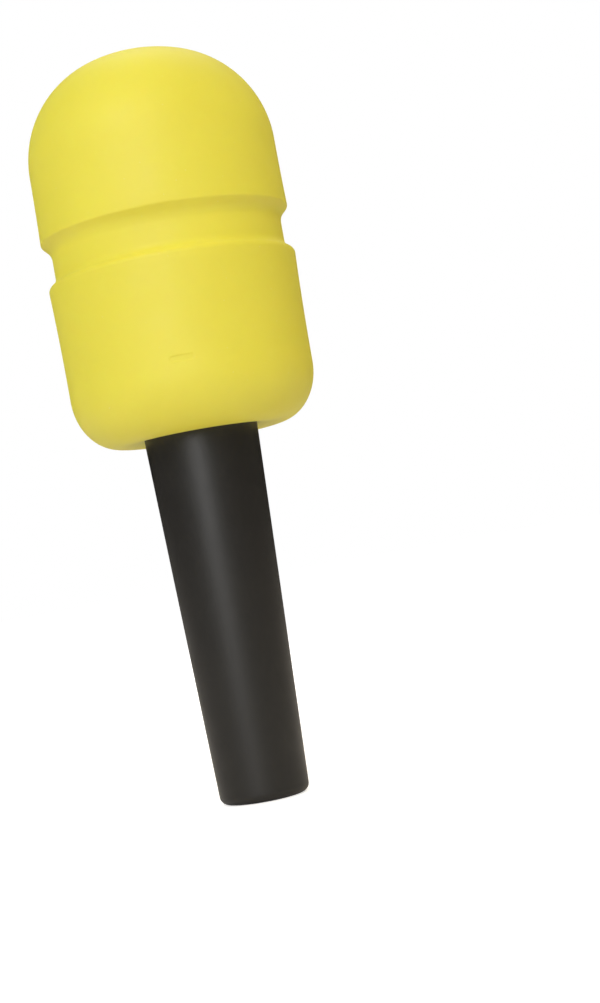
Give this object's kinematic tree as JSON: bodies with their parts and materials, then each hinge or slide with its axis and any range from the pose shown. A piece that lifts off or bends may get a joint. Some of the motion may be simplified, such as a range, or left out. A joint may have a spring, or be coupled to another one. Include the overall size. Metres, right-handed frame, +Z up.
{
  "type": "hand shaker",
  "caption": "Hand shaker: a soft capsule-shaped head with a waist groove on a tapered handle, with loose steel balls inside.",
  "frame": {"origin": "centre of the handle's flat end, the lowest point of the shaker stood on its handle", "axes": "+Z runs up the handle to the crown of the head; the object is round about Z, and the small moulded mark on the lower half of the head faces -Y"},
  "size_m": [0.0662, 0.0662, 0.1998],
  "materials": {
    "yellow_silicone": "matt soft-touch silicone, lemon yellow",
    "white_abs": "moulded natural white ABS, satin",
    "black_handle": "satin black moulded plastic, fine spark-eroded grain",
    "black_cap": "satin black moulded plastic, smooth rounded edge",
    "brass_insert": "turned and knurled brass",
    "zinc_screw": "bright zinc-plated steel screw",
    "zinc_washer": "stamped zinc-plated steel",
    "spring_steel": "oiled spring steel",
    "steel_ball": "tumbled bright steel ball with light scuffs"
  },
  "bodies": {
    "shaker": {"head_sleeve": "yellow_silicone", "chamber_dome": "white_abs", "chamber_cup": "white_abs", "stem_insert": "brass_insert", "tie_bolt": "zinc_screw", "flat_washer": "zinc_washer", "spring_washer": "spring_steel", "handle_shell": "black_handle", "end_cap": "black_cap"},
    "pellet_01": {"pellet_01": "steel_ball"},
    "pellet_02": {"pellet_02": "steel_ball"},
    "pellet_03": {"pellet_03": "steel_ball"},
    "pellet_04": {"pellet_04": "steel_ball"},
    "pellet_05": {"pellet_05": "steel_ball"},
    "pellet_06": {"pellet_06": "steel_ball"},
    "pellet_07": {"pellet_07": "steel_ball"},
    "pellet_08": {"pellet_08": "steel_ball"},
    "pellet_09": {"pellet_09": "steel_ball"},
    "pellet_10": {"pellet_10": "steel_ball"},
    "pellet_11": {"pellet_11": "steel_ball"},
    "pellet_12": {"pellet_12": "steel_ball"},
    "pellet_13": {"pellet_13": "steel_ball"},
    "pellet_14": {"pellet_14": "steel_ball"},
    "pellet_15": {"pellet_15": "steel_ball"},
    "pellet_16": {"pellet_16": "steel_ball"},
    "pellet_17": {"pellet_17": "steel_ball"},
    "pellet_18": {"pellet_18": "steel_ball"},
    "pellet_19": {"pellet_19": "steel_ball"},
    "pellet_20": {"pellet_20": "steel_ball"},
    "pellet_21": {"pellet_21": "steel_ball"},
    "pellet_22": {"pellet_22": "steel_ball"},
    "pellet_23": {"pellet_23": "steel_ball"},
    "pellet_24": {"pellet_24": "steel_ball"},
    "pellet_25": {"pellet_25": "steel_ball"},
    "pellet_26": {"pellet_26": "steel_ball"},
    "pellet_27": {"pellet_27": "steel_ball"},
    "pellet_28": {"pellet_28": "steel_ball"},
    "pellet_29": {"pellet_29": "steel_ball"},
    "pellet_30": {"pellet_30": "steel_ball"},
    "pellet_31": {"pellet_31": "steel_ball"},
    "pellet_32": {"pellet_32": "steel_ball"},
    "pellet_33": {"pellet_33": "steel_ball"},
    "pellet_34": {"pellet_34": "steel_ball"},
    "pellet_35": {"pellet_35": "steel_ball"},
    "pellet_36": {"pellet_36": "steel_ball"},
    "pellet_37": {"pellet_37": "steel_ball"}
  },
  "joints": [
    {"name": "pellet_01_flight", "type": "slide", "parent": "shaker", "child": "pellet_01", "axis": [0, 0, 1], "range_m": [0, 0.0802]},
    {"name": "pellet_02_flight", "type": "slide", "parent": "shaker", "child": "pellet_02", "axis": [0, 0, 1], "range_m": [0, 0.0822]},
    {"name": "pellet_03_flight", "type": "slide", "parent": "shaker", "child": "pellet_03", "axis": [0, 0, 1], "range_m": [0, 0.0822]},
    {"name": "pellet_04_flight", "type": "slide", "parent": "shaker", "child": "pellet_04", "axis": [0, 0, 1], "range_m": [0, 0.0802]},
    {"name": "pellet_05_flight", "type": "slide", "parent": "shaker", "child": "pellet_05", "axis": [0, 0, 1], "range_m": [0, 0.0822]},
    {"name": "pellet_06_flight", "type": "slide", "parent": "shaker", "child": "pellet_06", "axis": [0, 0, 1], "range_m": [0, 0.0846]},
    {"name": "pellet_07_flight", "type": "slide", "parent": "shaker", "child": "pellet_07", "axis": [0, 0, 1], "range_m": [0, 0.0853]},
    {"name": "pellet_08_flight", "type": "slide", "parent": "shaker", "child": "pellet_08", "axis": [0, 0, 1], "range_m": [0, 0.0846]},
    {"name": "pellet_09_flight", "type": "slide", "parent": "shaker", "child": "pellet_09", "axis": [0, 0, 1], "range_m": [0, 0.0822]},
    {"name": "pellet_10_flight", "type": "slide", "parent": "shaker", "child": "pellet_10", "axis": [0, 0, 1], "range_m": [0, 0.0822]},
    {"name": "pellet_11_flight", "type": "slide", "parent": "shaker", "child": "pellet_11", "axis": [0, 0, 1], "range_m": [0, 0.0853]},
    {"name": "pellet_12_flight", "type": "slide", "parent": "shaker", "child": "pellet_12", "axis": [0, 0, 1], "range_m": [0, 0.0866]},
    {"name": "pellet_13_flight", "type": "slide", "parent": "shaker", "child": "pellet_13", "axis": [0, 0, 1], "range_m": [0, 0.0866]},
    {"name": "pellet_14_flight", "type": "slide", "parent": "shaker", "child": "pellet_14", "axis": [0, 0, 1], "range_m": [0, 0.0853]},
    {"name": "pellet_15_flight", "type": "slide", "parent": "shaker", "child": "pellet_15", "axis": [0, 0, 1], "range_m": [0, 0.0822]},
    {"name": "pellet_16_flight", "type": "slide", "parent": "shaker", "child": "pellet_16", "axis": [0, 0, 1], "range_m": [0, 0.0802]},
    {"name": "pellet_17_flight", "type": "slide", "parent": "shaker", "child": "pellet_17", "axis": [0, 0, 1], "range_m": [0, 0.0846]},
    {"name": "pellet_18_flight", "type": "slide", "parent": "shaker", "child": "pellet_18", "axis": [0, 0, 1], "range_m": [0, 0.0866]},
    {"name": "pellet_19_flight", "type": "slide", "parent": "shaker", "child": "pellet_19", "axis": [0, 0, 1], "range_m": [0, 0.0872]},
    {"name": "pellet_20_flight", "type": "slide", "parent": "shaker", "child": "pellet_20", "axis": [0, 0, 1], "range_m": [0, 0.0866]},
    {"name": "pellet_21_flight", "type": "slide", "parent": "shaker", "child": "pellet_21", "axis": [0, 0, 1], "range_m": [0, 0.0846]},
    {"name": "pellet_22_flight", "type": "slide", "parent": "shaker", "child": "pellet_22", "axis": [0, 0, 1], "range_m": [0, 0.0802]},
    {"name": "pellet_23_flight", "type": "slide", "parent": "shaker", "child": "pellet_23", "axis": [0, 0, 1], "range_m": [0, 0.0822]},
    {"name": "pellet_24_flight", "type": "slide", "parent": "shaker", "child": "pellet_24", "axis": [0, 0, 1], "range_m": [0, 0.0853]},
    {"name": "pellet_25_flight", "type": "slide", "parent": "shaker", "child": "pellet_25", "axis": [0, 0, 1], "range_m": [0, 0.0866]},
    {"name": "pellet_26_flight", "type": "slide", "parent": "shaker", "child": "pellet_26", "axis": [0, 0, 1], "range_m": [0, 0.0866]},
    {"name": "pellet_27_flight", "type": "slide", "parent": "shaker", "child": "pellet_27", "axis": [0, 0, 1], "range_m": [0, 0.0853]},
    {"name": "pellet_28_flight", "type": "slide", "parent": "shaker", "child": "pellet_28", "axis": [0, 0, 1], "range_m": [0, 0.0822]},
    {"name": "pellet_29_flight", "type": "slide", "parent": "shaker", "child": "pellet_29", "axis": [0, 0, 1], "range_m": [0, 0.0822]},
    {"name": "pellet_30_flight", "type": "slide", "parent": "shaker", "child": "pellet_30", "axis": [0, 0, 1], "range_m": [0, 0.0846]},
    {"name": "pellet_31_flight", "type": "slide", "parent": "shaker", "child": "pellet_31", "axis": [0, 0, 1], "range_m": [0, 0.0853]},
    {"name": "pellet_32_flight", "type": "slide", "parent": "shaker", "child": "pellet_32", "axis": [0, 0, 1], "range_m": [0, 0.0846]},
    {"name": "pellet_33_flight", "type": "slide", "parent": "shaker", "child": "pellet_33", "axis": [0, 0, 1], "range_m": [0, 0.0822]},
    {"name": "pellet_34_flight", "type": "slide", "parent": "shaker", "child": "pellet_34", "axis": [0, 0, 1], "range_m": [0, 0.0802]},
    {"name": "pellet_35_flight", "type": "slide", "parent": "shaker", "child": "pellet_35", "axis": [0, 0, 1], "range_m": [0, 0.0822]},
    {"name": "pellet_36_flight", "type": "slide", "parent": "shaker", "child": "pellet_36", "axis": [0, 0, 1], "range_m": [0, 0.0822]},
    {"name": "pellet_37_flight", "type": "slide", "parent": "shaker", "child": "pellet_37", "axis": [0, 0, 1], "range_m": [0, 0.0802]}
  ]
}
